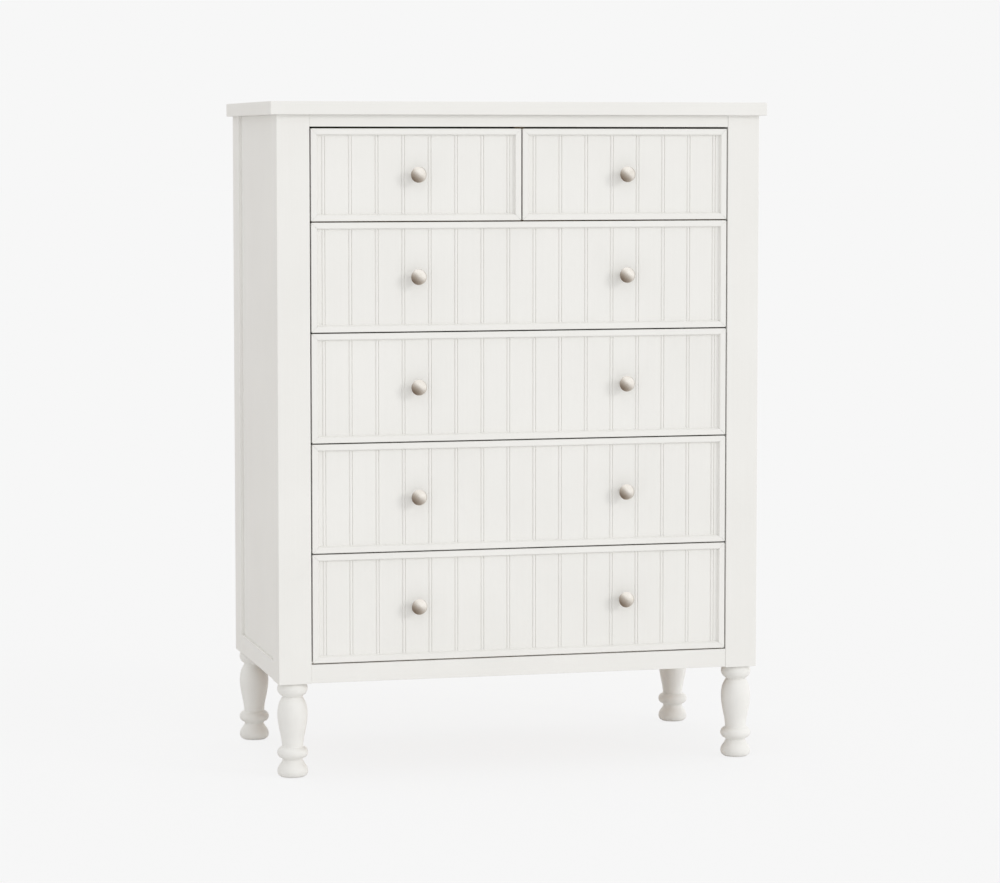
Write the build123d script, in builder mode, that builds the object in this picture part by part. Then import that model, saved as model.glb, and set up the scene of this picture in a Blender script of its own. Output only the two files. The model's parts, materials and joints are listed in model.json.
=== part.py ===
from build123d import *

import os
from dataclasses import dataclass

# Tall chest of drawers in painted wood: two drawers side by side over four wide ones, on turned legs.
# Millimetres. X runs to the right, Y to the back and Z up. The origin is on the floor, under the middle
# of the whole object, knobs included. Every joint between boards is cut in both of its pieces.

# Overall sizes
overall_height = 1270
top_width = 965
carcass_width = 940
carcass_depth = 476

# Top board
top_thickness = 25
top_front_overhang = 11
top_edge_round = 1.6

# Posts and rails
post_size = 62.5
post_edge_round = 1.5
rail_thickness = 22
rail_setback = 1
rail_lift = 1
side_rail_setback = 0.5
top_rail_height = 22
bottom_rail_height = 36
rear_rail_height = 60
rear_rail_thickness = 20
tenon_thickness = 10
tenon_shoulder = 6
front_tenon_length = 25
side_tenon_length = 20

# Side panels, held in grooves
panel_recess = 7
side_panel_thickness = 12
groove_depth = 8

# Back panel, screwed into rebates
back_thickness = 5
rebate_depth = 8
rebate_width = 10
back_lift = 4

# Inside: cleats that carry the slides, the shelf and the divider of the top row
cleat_thickness = 20
cleat_height = 56
cleat_tenon_length = 10
cleat_tenon_height = 30
top_cleat_size = 20
shelf_thickness = 18
divider_thickness = 18

# Drawer fronts
wide_rows = 4
drawer_gap = 2.4
top_gap = 3.4
side_gap = 2.5
middle_gap = 2.8
wide_front_height = 204.8
front_thickness = 20
frame_face = 10.7
frame_bevel = 2.6
frame_corner_round = 2
frame_edge_round = 1.2
mitre_gap = 0.3
panel_sink = 6
tongue_length = 4.6
tongue_thickness = 5.8
tongue_front = 10.6
groove_clearance = 0.2

# Beaded face of the drawer panels
bead_pitch = 50.8
bead_half_width = 2.6
quirk_width = 0.9
quirk_depth = 1.6

# Drawer boxes
box_lift = 14
wide_box_height = 150
top_box_height = 125
box_length = 410
box_side_thickness = 12
box_front_thickness = 15
box_back_thickness = 12
box_bottom_thickness = 5
box_bottom_lift = 12
box_groove_depth = 6
dovetail_length = 10
dovetail_slope = 1 / 7
dovetail_pitch = 29
dovetail_share = 0.58
glue_gap = 0.05

# Drawer slides, three steel channels each
slide_thickness = 12.7
slide_length = 400
slide_setback = 24
slide_lift = 40
slide_sheet = 1.2

# Knobs and their screws
knob_radius = 15
knob_length = 28
knob_dome_height = 6.6
knob_offset = 203.2
knob_screw_radius = 2
knob_screw_play = 0.1
knob_screw_grip = 9

# Turned legs, their bolts and glides
leg_height = 180
hanger_bolt_radius = 4
hanger_bolt_reach = 40
glide_radius = 11
glide_thickness = 5
glide_stand = 1.5

# Screws of the back panel
back_screw_radius = 1.5
back_screw_length = 16
back_screw_head_radius = 3.3
back_screw_head_height = 2.2
back_screw_head_round = 1.5
back_screw_rows = 7
back_screw_first = 270
back_screw_last = 1150
rail_screw_count = 5
rail_screw_span = 660

# Where things stand
knob_projection = knob_length - panel_sink
front = -(carcass_depth + knob_projection) / 2 + knob_projection
back = front + carcass_depth
outer = carcass_width / 2
inner = outer - post_size
post_bottom = leg_height
post_top = overall_height - top_thickness
bottom_rail_top = post_bottom + bottom_rail_height
top_rail_bottom = post_top - top_rail_height
front_post_back = front + post_size
rear_post_front = back - post_size
leg_x = outer - post_size / 2
leg_ys = (front + post_size / 2, back - post_size / 2)
wide_pitch = wide_front_height + drawer_gap
top_row_bottom = bottom_rail_top + drawer_gap + wide_rows * wide_pitch
top_row_top = top_rail_bottom - top_gap
shelf_top = top_row_bottom + shelf_thickness / 2 - drawer_gap / 2
panel_back = back - rebate_depth
rear_rail_front = panel_back - rear_rail_thickness
box_start = front + front_thickness
box_end = box_start + box_length


@dataclass
class Drawer:
    """One drawer: the limits of its front, the walls that its slides stand on, and its box."""

    name: str
    x: tuple
    z: tuple
    walls: tuple
    box_height: float
    knobs: tuple

    @property
    def box_x(self):
        return (self.walls[0] + slide_thickness, self.walls[1] - slide_thickness)

    @property
    def box_z(self):
        return (self.z[0] + box_lift, self.z[0] + box_lift + self.box_height)

    @property
    def slide_z(self):
        return self.z[0] + box_lift + slide_lift

    @property
    def centre_z(self):
        return (self.z[0] + self.z[1]) / 2


def all_drawers():
    """The two top drawers and the four wide ones, from the top down."""
    front_edge = inner - side_gap
    found = []
    for name, side in (("top_left", -1), ("top_right", 1)):
        x = sorted((side * front_edge, side * middle_gap / 2))
        walls = sorted((side * inner, side * divider_thickness / 2))
        knobs = (side * knob_offset,)
        span = (top_row_bottom, top_row_top)
        found.append(Drawer(name, tuple(x), span, tuple(walls), top_box_height, knobs))
    for row, name in enumerate(("second", "third", "fourth", "bottom")):
        low = top_row_bottom - (row + 1) * wide_pitch
        span = (low, low + wide_front_height)
        knobs = (-knob_offset, knob_offset)
        x = (-front_edge, front_edge)
        found.append(Drawer(name, x, span, (-inner, inner), wide_box_height, knobs))
    return found


drawers = all_drawers()
slide_levels = sorted({drawer.slide_z for drawer in drawers})


def save(name, pieces):
    """Writes one node. Several pieces in a node stay separate solids."""
    shape = pieces[0] if len(pieces) == 1 else Compound(children=pieces)
    shape.label = name
    export_step(shape, f"parts/{name}.step")


def grown(span, amount):
    """The two limits of a span, moved apart by an amount at each end."""
    return (span[0] - amount, span[1] + amount)


def block(x, y, z, mode=Mode.ADD):
    """A rectangular solid between two limits on each axis, in the builder that is open."""
    with Locations(((x[0] + x[1]) / 2, (y[0] + y[1]) / 2, (z[0] + z[1]) / 2)):
        Box(x[1] - x[0], y[1] - y[0], z[1] - z[0], mode=mode)


def rod(radius, start, end, mode=Mode.ADD):
    """A round bar between two points that lie on a line along Y or Z, in the builder that is open."""
    along_y = start[1] != end[1]
    length = abs(end[1] - start[1]) if along_y else abs(end[2] - start[2])
    middle = tuple((a + b) / 2 for a, b in zip(start, end))
    with Locations(middle):
        Cylinder(radius, length, rotation=(90 if along_y else 0, 0, 0), mode=mode)


def cross_recess(x, z, length, width, y):
    """The cross in the head of a screw, in the builder that is open."""
    for wide, tall in ((length, width), (width, length)):
        block(grown((x, x), wide / 2), y, grown((z, z), tall / 2), Mode.SUBTRACT)


def mirrored(piece):
    """The same piece on the other side of the chest."""
    with BuildPart() as other:
        mirror(piece, about=Plane.YZ)
    return other.part


# Carcass


def top_board():
    """The top, which overhangs the posts at the front and the sides and is flush at the back."""
    half = top_width / 2
    with BuildPart() as top:
        block((-half, half), (front - top_front_overhang, back), (post_top, overall_height))
        fillet(top.edges(), top_edge_round)
    return top.part


def tenon_z(low, high):
    """The height of a tenon on a rail that runs from low to high."""
    return (low + tenon_shoulder, high - tenon_shoulder)


def rail_levels(at_front):
    """The limits in height of the rails between the front posts or the rear posts."""
    if at_front:
        return ((top_rail_bottom, post_top), (post_bottom + rail_lift, bottom_rail_top))
    rear_low = (post_bottom + rail_lift, post_bottom + rear_rail_height)
    return ((post_top - rear_rail_height, post_top), rear_low)


def rail_tenon_y(at_front):
    """The limits in depth of the tenons of the front or rear rails."""
    start = front + rail_setback + tenon_shoulder if at_front else rear_rail_front + 5
    return (start, start + tenon_thickness)


def side_tenon_x():
    """The limits across of the tenons of the left side rail."""
    start = -outer + side_rail_setback + tenon_shoulder
    return (start, start + tenon_thickness)


def cleat_tenon_x():
    """The limits across of the stub tenons of the left slide cleats."""
    start = -inner - cleat_thickness + 5
    return (start, start + tenon_thickness)


def side_panel_x():
    """The limits across of the left side panel."""
    return (-outer + panel_recess, -outer + panel_recess + side_panel_thickness)


def back_screw_places():
    """Where the screws of the back panel stand: along the posts, the rear rails and the shelf."""
    step = (back_screw_last - back_screw_first) / (back_screw_rows - 1)
    levels = [back_screw_first + row * step for row in range(back_screw_rows)]
    edge = inner + rebate_width / 2
    on_posts = [(side * edge, level) for side in (-1, 1) for level in levels]
    rail_step = rail_screw_span / (rail_screw_count - 1)
    across = [-rail_screw_span / 2 + i * rail_step for i in range(rail_screw_count)]
    shelf_middle = shelf_top - shelf_thickness / 2
    rows = (post_bottom + rear_rail_height / 2, shelf_middle, post_top - rear_rail_height / 2)
    return on_posts, [(x, z) for z in rows for x in across]


def back_screw_holes(places):
    """Holes for the back panel's screws, in the builder that is open."""
    head = panel_back + back_thickness
    for x, z in places:
        rod(back_screw_radius, (x, head - back_screw_length, z), (x, head, z), mode=Mode.SUBTRACT)


def left_post(at_front):
    """A square post with its grooves, mortises and bolt hole."""
    y = (front, front_post_back) if at_front else (rear_post_front, back)
    seam = front_post_back if at_front else rear_post_front
    inward = -1 if at_front else 1

    def from_seam(depth):
        return tuple(sorted((seam, seam + inward * depth)))

    with BuildPart() as post:
        block((-outer, -inner), y, (post_bottom, post_top))
        fillet(post.edges().filter_by(Axis.Z), post_edge_round)
        groove_z = (bottom_rail_top - groove_depth, post_top)
        block(side_panel_x(), from_seam(groove_depth), groove_z, Mode.SUBTRACT)
        for low, high in rail_levels(at_front):
            reach = (-inner - front_tenon_length, -inner)
            block(reach, rail_tenon_y(at_front), tenon_z(low, high), Mode.SUBTRACT)
        side_z = tenon_z(post_bottom + rail_lift, bottom_rail_top - groove_depth)
        block(side_tenon_x(), from_seam(side_tenon_length), side_z, Mode.SUBTRACT)
        for level in slide_levels:
            span = grown((level, level), cleat_tenon_height / 2)
            block(cleat_tenon_x(), from_seam(cleat_tenon_length), span, Mode.SUBTRACT)
        bolt_y = leg_ys[0] if at_front else leg_ys[1]
        bolt_top = post_bottom + hanger_bolt_reach
        rod(hanger_bolt_radius, (-leg_x, bolt_y, post_bottom), (-leg_x, bolt_y, bolt_top), Mode.SUBTRACT)
        if not at_front:
            rebate_z = (post_bottom + back_lift, post_top)
            block((-inner - rebate_width, -inner), (panel_back, back), rebate_z, Mode.SUBTRACT)
            back_screw_holes([place for place in back_screw_places()[0] if place[0] < 0])
    return post.part


def cross_rail(at_front, low, high):
    """A rail between the two front posts or the two rear posts, with its tenons."""
    if at_front:
        y = (front + rail_setback, front + rail_setback + rail_thickness)
    else:
        y = (rear_rail_front, panel_back)
    reach = inner + front_tenon_length
    with BuildPart() as rail:
        block((-inner, inner), y, (low, high))
        block((-reach, reach), rail_tenon_y(at_front), tenon_z(low, high))
        if not at_front:
            back_screw_holes([place for place in back_screw_places()[1] if low < place[1] < high])
    return rail.part


def left_side_rail():
    """The lower rail of the side frame, grooved for the panel and tenoned into the posts."""
    x = (-outer + side_rail_setback, -outer + side_rail_setback + rail_thickness)
    low = post_bottom + rail_lift
    with BuildPart() as rail:
        block(x, (front_post_back, rear_post_front), (low, bottom_rail_top))
        reach = grown((front_post_back, rear_post_front), side_tenon_length)
        block(side_tenon_x(), reach, tenon_z(low, bottom_rail_top - groove_depth))
        groove_z = (bottom_rail_top - groove_depth, bottom_rail_top)
        block(side_panel_x(), (front_post_back, rear_post_front), groove_z, Mode.SUBTRACT)
    return rail.part


def left_side_panel():
    """The flat panel of the side frame. Its edges run into the grooves of the posts and the rail."""
    y = grown((front_post_back, rear_post_front), groove_depth)
    with BuildPart() as panel:
        block(side_panel_x(), y, (bottom_rail_top - groove_depth, post_top))
    return panel.part


def back_panel():
    """The thin panel that closes the back, drilled for its screws."""
    x = grown((-inner, inner), rebate_width)
    with BuildPart() as panel:
        block(x, (panel_back, panel_back + back_thickness), (post_bottom + back_lift, post_top))
        on_posts, on_rails = back_screw_places()
        back_screw_holes(on_posts + on_rails)
    return panel.part


def shelf():
    """The shelf under the top row, which the divider stands on."""
    with BuildPart() as board:
        y = (front + rail_setback + rail_thickness, panel_back)
        block((-inner, inner), y, (shelf_top - shelf_thickness, shelf_top))
        level = shelf_top - shelf_thickness / 2
        back_screw_holes([place for place in back_screw_places()[1] if place[1] == level])
    return board.part


def divider():
    """The upright board between the two top drawers, which carries their inner slides."""
    half = divider_thickness / 2
    with BuildPart() as board:
        y = (front + rail_setback + rail_thickness, rear_rail_front)
        block((-half, half), y, (shelf_top, post_top))
    return board.part


def left_slide_cleats():
    """Rails between the front and rear posts, one for each row, which carry the outer slides."""
    y = (front_post_back, rear_post_front)
    cleats = []
    for level in slide_levels:
        with BuildPart() as cleat:
            height = grown((level, level), cleat_height / 2)
            block((-inner - cleat_thickness, -inner), y, height)
            tenon = grown((level, level), cleat_tenon_height / 2)
            block(cleat_tenon_x(), grown(y, cleat_tenon_length), tenon)
        cleats.append(cleat.part)
    return cleats


def left_top_cleat():
    """The batten inside the side panel that the top is screwed to."""
    start = side_panel_x()[1]
    with BuildPart() as cleat:
        y = (front_post_back, rear_post_front)
        block((start, start + top_cleat_size), y, (post_top - top_cleat_size, post_top))
    return cleat.part


def back_screws():
    """Round-headed screws that hold the back panel, each with a cross recess."""
    head_y = panel_back + back_thickness
    places = [place for group in back_screw_places() for place in group]
    screws = []
    for x, z in places:
        with BuildPart() as screw:
            top = head_y + back_screw_head_height
            rod(back_screw_radius, (x, head_y - back_screw_length, z), (x, head_y, z))
            rod(back_screw_head_radius, (x, head_y, z), (x, top, z))
            fillet(screw.edges().group_by(Axis.Y)[-1], back_screw_head_round)
            cross_recess(x, z, 3.2, 0.8, (top - 1.2, top))
        screws.append(screw.part)
    return screws


# Legs


def leg(x, y):
    """A turned leg: foot, ring, vase and collar, bored for its bolt and recessed for its glide."""
    foot_neck = (18.7, 33.5)
    ring_low = (20.5, 36.5)
    ring_high = (20.5, 57.5)
    waist = (19.8, 59.5)
    vase_neck = (18.6, 153.2)
    collar_low = (20.6, 155.4)
    collar_high = (25.2, 178.4)
    with BuildPart() as turned:
        with BuildSketch(Plane((x, y, 0), x_dir=(1, 0, 0), z_dir=(0, -1, 0))):
            with BuildLine():
                Line((0, glide_stand), (22.5, glide_stand))
                foot = [(22.5, glide_stand), (27.2, 5), (29, 12), (26.8, 20), (21.6, 27.6), foot_neck]
                Spline(*foot)
                Line(foot_neck, ring_low)
                ThreePointArc(ring_low, (29.3, 47), ring_high)
                Line(ring_high, waist)
                Spline(waist, (21.7, 75), (26, 96), (28.6, 118), (26.6, 137), (21.8, 148.4), vase_neck)
                Line(vase_neck, collar_low)
                ThreePointArc(collar_low, (28.6, 166.8), collar_high)
                Line(collar_high, (24, leg_height))
                Line((24, leg_height), (0, leg_height))
                Line((0, leg_height), (0, glide_stand))
            make_face()
        revolve(axis=Axis((x, y, 0), (0, 0, 1)))
        rod(hanger_bolt_radius, (x, y, leg_height - hanger_bolt_reach), (x, y, leg_height), Mode.SUBTRACT)
        rod(glide_radius, (x, y, glide_stand), (x, y, glide_thickness), Mode.SUBTRACT)
    return turned.part


def hanger_bolt(x, y):
    """The steel bolt that joins a leg to its post."""
    with BuildPart() as bolt:
        low = leg_height - hanger_bolt_reach
        rod(hanger_bolt_radius, (x, y, low), (x, y, leg_height + hanger_bolt_reach))
    return bolt.part


def floor_glide(x, y):
    """The nylon button under a foot."""
    with BuildPart() as glide:
        rod(glide_radius, (x, y, 0), (x, y, glide_thickness))
        fillet(glide.faces().sort_by(Axis.Z)[0].edges(), 0.8)
    return glide.part


# Drawers


def centre(span):
    return (span[0] + span[1]) / 2


def frame_mouldings(drawer):
    """Four mitred mouldings round a drawer front, bevelled inside and grooved for the panel."""
    width = drawer.x[1] - drawer.x[0]
    height = drawer.z[1] - drawer.z[0]
    middle = (centre(drawer.x), drawer.centre_z)
    depth = (front, front + front_thickness)
    edge = frame_face + frame_bevel
    with BuildPart() as ring:
        block(drawer.x, depth, drawer.z)
        fillet(ring.edges().filter_by(Axis.Y), frame_corner_round)
        fillet(ring.faces().sort_by(Axis.Y)[0].edges(), frame_edge_round)
        with BuildSketch(Plane.XZ.offset(-front)):
            with Locations(middle):
                Rectangle(width - 2 * frame_face, height - 2 * frame_face)
        with BuildSketch(Plane.XZ.offset(-front - panel_sink)):
            with Locations(middle):
                Rectangle(width - 2 * edge, height - 2 * edge)
        loft(mode=Mode.SUBTRACT)
        opening = (grown(drawer.x, -edge), grown(drawer.z, -edge))
        block(opening[0], (front + panel_sink, front + front_thickness), opening[1], Mode.SUBTRACT)
        reach = tongue_length + groove_clearance
        groove_y = (front + tongue_front, front + tongue_front + tongue_thickness)
        block(grown(opening[0], reach), groove_y, grown(opening[1], reach), Mode.SUBTRACT)
    left, right = grown(drawer.x, -mitre_gap / 2)
    low, high = drawer.z
    slant = height / 2
    inner_left = left + slant
    inner_right = right - slant
    level = low + slant
    wedges = (
        [(left, low), (right, low), (inner_right, level), (inner_left, level)],
        [(left, high), (right, high), (inner_right, level), (inner_left, level)],
        [(left - mitre_gap, low), (left - mitre_gap, high), (inner_left - mitre_gap, level)],
        [(right + mitre_gap, low), (right + mitre_gap, high), (inner_right + mitre_gap, level)],
    )
    bars = []
    for wedge in wedges:
        with BuildPart() as bar:
            add(ring.part)
            with BuildSketch(Plane.XZ.offset(-front)):
                with BuildLine():
                    Polyline(*wedge, close=True)
                make_face()
            extrude(amount=-front_thickness, mode=Mode.INTERSECT)
        bars.append(bar.part)
    return bars


def knob_screw_holes(drawer, near, far):
    """Holes for a drawer's knob screws from near to far, in the builder that is open."""
    radius = knob_screw_radius + knob_screw_play
    for x in drawer.knobs:
        rod(radius, (x, near, drawer.centre_z), (x, far, drawer.centre_z), mode=Mode.SUBTRACT)


def bead_places(drawer):
    """The middles of the beads on a drawer panel, even about its centre."""
    room = drawer.x[1] - drawer.x[0] - 2 * (frame_face + frame_bevel) - 4 * bead_half_width
    count = 2 * int(room / bead_pitch / 2 + 0.5)
    first = centre(drawer.x) - (count - 1) * bead_pitch / 2
    return [first + i * bead_pitch for i in range(count)]


def front_panel(drawer):
    """The beaded panel of a drawer front, tongued into the frame and bored for the knob screws."""
    edge = frame_face + frame_bevel
    opening_x = grown(drawer.x, -edge)
    opening_z = grown(drawer.z, -edge)
    face = front + panel_sink
    rear = front + front_thickness
    tongue = (front + tongue_front, front + tongue_front + tongue_thickness)
    low = opening_z[0] - tongue_length
    high = opening_z[1] + tongue_length
    with BuildPart() as panel:
        with BuildSketch(Plane.XY.offset(low)):
            with BuildLine():
                start = (opening_x[0], face)
                for x in bead_places(drawer):
                    side = bead_half_width
                    Line(start, (x - side - quirk_width, face))
                    Line((x - side - quirk_width, face), (x - side, face + quirk_depth))
                    ThreePointArc((x - side, face + quirk_depth), (x, face), (x + side, face + quirk_depth))
                    Line((x + side, face + quirk_depth), (x + side + quirk_width, face))
                    start = (x + side + quirk_width, face)
                Polyline(
                    start,
                    (opening_x[1], face),
                    (opening_x[1], tongue[0]),
                    (opening_x[1] + tongue_length, tongue[0]),
                    (opening_x[1] + tongue_length, tongue[1]),
                    (opening_x[1], tongue[1]),
                    (opening_x[1], rear),
                    (opening_x[0], rear),
                    (opening_x[0], tongue[1]),
                    (opening_x[0] - tongue_length, tongue[1]),
                    (opening_x[0] - tongue_length, tongue[0]),
                    (opening_x[0], tongue[0]),
                    (opening_x[0], face),
                )
            make_face()
        extrude(amount=high - low)
        across = grown(opening_x, tongue_length)
        for rim in ((low, opening_z[0]), (opening_z[1], high)):
            block(across, (face, tongue[0]), rim, Mode.SUBTRACT)
            block(across, (tongue[1], rear), rim, Mode.SUBTRACT)
        knob_screw_holes(drawer, face, rear)
    return panel.part


def tails(narrow_y, wide_y, z_span, gap=0):
    """The corner points, in Y and Z, of a row of dovetails that widen from narrow_y to wide_y.

    A gap above zero gives the sockets that such dovetails fit, with that much room for glue.
    """
    height = z_span[1] - z_span[0]
    count = int(height / dovetail_pitch)
    pitch = height / count
    outward = 1 if wide_y > narrow_y else -1
    spread = abs(wide_y - narrow_y) * dovetail_slope
    half = pitch * dovetail_share / 2 + gap
    deep = wide_y + outward * gap
    rows = []
    for i in range(count):
        z = z_span[0] + (i + 0.5) * pitch
        wide = half + spread
        rows.append([(narrow_y, z - half), (deep, z - wide), (deep, z + wide), (narrow_y, z + half)])
    return rows


def tail_rows(plane_x, outlines, mode):
    """Dovetails as thick as a side board, in the builder that is open."""
    with BuildSketch(Plane.YZ.offset(plane_x)) as rows:
        for outline in outlines:
            with BuildLine():
                Polyline(*outline, close=True)
            make_face()
    extrude(rows.sketch, amount=box_side_thickness, mode=mode)


def bottom_groove(drawer):
    """The limits in height of the groove that holds the bottom."""
    low = drawer.box_z[0] + box_bottom_lift
    return grown((low, low + box_bottom_thickness), glue_gap)


def box_tails(drawer):
    """All the dovetails on one side board: half-blind ones at the front and through ones at the back."""
    low, high = drawer.box_z
    seat = low + box_bottom_lift + box_bottom_thickness
    narrow = box_start + box_front_thickness
    at_front = tails(narrow + glue_gap, narrow - dovetail_length, (low, high))
    at_back = tails(box_end - box_back_thickness - glue_gap, box_end, (seat, high))
    return at_front + at_back


def box_side(drawer, side):
    """A side board with its dovetails and the groove for the bottom. side is -1 for the left one."""
    edge = drawer.box_x[0] if side < 0 else drawer.box_x[1]
    x = sorted((edge, edge - side * box_side_thickness))
    low = drawer.box_z[0]
    seat = low + box_bottom_lift + box_bottom_thickness
    inside = edge - side * box_side_thickness
    groove_x = sorted((inside, inside + side * (box_groove_depth + glue_gap)))
    start = box_start + box_front_thickness
    with BuildPart() as board:
        block(x, (start + glue_gap, box_end - box_back_thickness - glue_gap), drawer.box_z)
        block(x, (start + glue_gap, box_end), (low, seat))
        tail_rows(x[0], box_tails(drawer), Mode.ADD)
        block(groove_x, (start - dovetail_length, box_end), bottom_groove(drawer), Mode.SUBTRACT)
    return board.part


def box_front(drawer):
    """The inner front of the box, with the dovetail sockets and the holes of the knob screws."""
    rear = box_start + box_front_thickness
    with BuildPart() as board:
        block(drawer.box_x, (box_start, rear), drawer.box_z)
        for plane_x in (drawer.box_x[0], drawer.box_x[1] - box_side_thickness):
            sockets = tails(rear, rear - dovetail_length, drawer.box_z, glue_gap)
            tail_rows(plane_x, sockets, Mode.SUBTRACT)
        inside = grown(drawer.box_x, box_groove_depth + glue_gap - box_side_thickness)
        groove_y = (rear - box_groove_depth - glue_gap, rear)
        block(inside, groove_y, bottom_groove(drawer), Mode.SUBTRACT)
        knob_screw_holes(drawer, box_start, rear)
    return board.part


def box_back(drawer):
    """The back of the box, which stands on the bottom."""
    low, high = drawer.box_z
    seat = low + box_bottom_lift + box_bottom_thickness
    face = box_end - box_back_thickness
    with BuildPart() as board:
        block(drawer.box_x, (face, box_end), (seat + glue_gap, high))
        for plane_x in (drawer.box_x[0], drawer.box_x[1] - box_side_thickness):
            tail_rows(plane_x, tails(face, box_end, (seat, high), glue_gap), Mode.SUBTRACT)
    return board.part


def box_bottom(drawer):
    """The thin bottom, which slides in from the back under the box's back."""
    low = drawer.box_z[0] + box_bottom_lift
    x = grown(drawer.box_x, box_groove_depth - box_side_thickness)
    start = box_start + box_front_thickness - box_groove_depth
    with BuildPart() as board:
        block(x, (start, box_end), (low, low + box_bottom_thickness))
    return board.part


def knob(drawer, x):
    """A domed knob on a waisted stem, bored for its screw."""
    base = front + panel_sink
    z = drawer.centre_z
    dome_start = knob_length - knob_dome_height
    dome_radius = (knob_radius**2 + knob_dome_height**2) / (2 * knob_dome_height)
    half_way = knob_length - dome_radius + (dome_radius**2 - knob_radius**2 / 4) ** 0.5
    with BuildPart() as turned:
        with BuildSketch(Plane((x, base, z), x_dir=(1, 0, 0), z_dir=(0, 0, -1))):
            with BuildLine():
                Line((0, 0), (9, 0))
                Line((9, 0), (9, 1.6))
                Spline((9, 1.6), (6.6, 4.4), (5.9, 9), (7.4, 14.5), (12.6, 18.8))
                ThreePointArc((12.6, 18.8), (14.3, 19.5), (knob_radius, dome_start))
                ThreePointArc((knob_radius, dome_start), (knob_radius / 2, half_way), (0, knob_length))
                Line((0, knob_length), (0, 0))
            make_face()
        revolve(axis=Axis((x, base, z), (0, 1, 0)))
        deep = base - knob_screw_grip - knob_screw_play
        rod(knob_screw_radius + knob_screw_play, (x, deep, z), (x, base, z), Mode.SUBTRACT)
    return turned.part


def knob_screw(drawer, x):
    """The machine screw that goes through the box front and the panel into the knob."""
    tip = front + panel_sink - knob_screw_grip
    seat = box_start + box_front_thickness
    z = drawer.centre_z
    with BuildPart() as screw:
        rod(knob_screw_radius, (x, tip, z), (x, seat, z))
        rod(4.2, (x, seat, z), (x, seat + 2.6, z))
        fillet(screw.edges().group_by(Axis.Y)[-1], 1.2)
        cross_recess(x, z, 4.2, 0.9, (seat + 1.2, seat + 2.6))
    return screw.part


def channel(wall, inward, web, tip, half_height, level, lip=0):
    """One steel channel of a slide. Distances web and tip are from the wall, along inward."""
    y = (front + slide_setback, front + slide_setback + slide_length)
    opens = 1 if tip > web else -1

    def across(a, b):
        return sorted((wall + inward * a, wall + inward * b))

    with BuildPart() as sheet:
        web_x = across(web, web + opens * slide_sheet)
        block(web_x, y, grown((level, level), half_height))
        for side in (-1, 1):
            rim = level + side * half_height
            flange = sorted((rim, rim - side * slide_sheet))
            block(across(web, tip), y, flange)
            if lip:
                lip_z = sorted((rim, rim - side * lip))
                block(across(tip - opens * slide_sheet, tip), y, lip_z)
    return sheet.part


def slide_walls(drawer):
    """The two walls that a drawer's slides stand on, each with the direction towards the drawer."""
    return ((drawer.walls[0], 1), (drawer.walls[1], -1))


def cabinet_channels(drawer):
    level = drawer.slide_z
    return [channel(wall, inward, 0, 11.2, 22.5, level, lip=3) for wall, inward in slide_walls(drawer)]


def middle_channels(drawer):
    level = drawer.slide_z
    return [channel(wall, inward, 2.4, 9.4, 18, level) for wall, inward in slide_walls(drawer)]


def drawer_channels(drawer):
    level = drawer.slide_z
    return [channel(wall, inward, slide_thickness, 5, 14.5, level) for wall, inward in slide_walls(drawer)]


# Assembly


def write_carcass():
    """Writes the nodes that stay still."""
    save("top", [top_board()])
    for place, at_front in (("front", True), ("rear", False)):
        post = left_post(at_front)
        save(f"{place}_left_post", [post])
        save(f"{place}_right_post", [mirrored(post)])
    save("left_side_panel", [left_side_panel()])
    save("right_side_panel", [mirrored(left_side_panel())])
    save("left_side_rail", [left_side_rail()])
    save("right_side_rail", [mirrored(left_side_rail())])
    for place, levels in zip(("top", "bottom"), rail_levels(True)):
        save(f"front_{place}_rail", [cross_rail(True, *levels)])
    save("rear_rails", [cross_rail(False, *levels) for levels in rail_levels(False)])
    save("back_panel", [back_panel()])
    save("back_screws", back_screws())
    save("top_row_shelf", [shelf()])
    save("top_row_divider", [divider()])
    cleats = left_slide_cleats() + [left_top_cleat()]
    save("cleats", cleats + [mirrored(cleat) for cleat in cleats])
    save("cabinet_channels", [piece for drawer in drawers for piece in cabinet_channels(drawer)])


def write_legs():
    """Writes the four legs, their bolts and their glides."""
    places = []
    for row, y in zip(("front", "rear"), leg_ys):
        for side, x in (("left", -leg_x), ("right", leg_x)):
            save(f"{row}_{side}_leg", [leg(x, y)])
            places.append((x, y))
    save("hanger_bolts", [hanger_bolt(*place) for place in places])
    save("floor_glides", [floor_glide(*place) for place in places])


def write_drawer(drawer):
    """Writes the nodes of one drawer and the middle channels of its slides."""
    name = f"{drawer.name}_drawer"
    save(f"{name}_frame", frame_mouldings(drawer))
    save(f"{name}_panel", [front_panel(drawer)])
    sides = [box_side(drawer, -1), box_side(drawer, 1)]
    save(f"{name}_box", sides + [box_front(drawer), box_back(drawer), box_bottom(drawer)])
    save(f"{name}_knobs", [make(drawer, x) for x in drawer.knobs for make in (knob, knob_screw)])
    save(f"{name}_channels", drawer_channels(drawer))
    save(f"{drawer.name}_middle_channels", middle_channels(drawer))


os.makedirs("parts", exist_ok=True)
write_carcass()
write_legs()
for each_drawer in drawers:
    write_drawer(each_drawer)
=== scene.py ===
import json
import math

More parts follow.
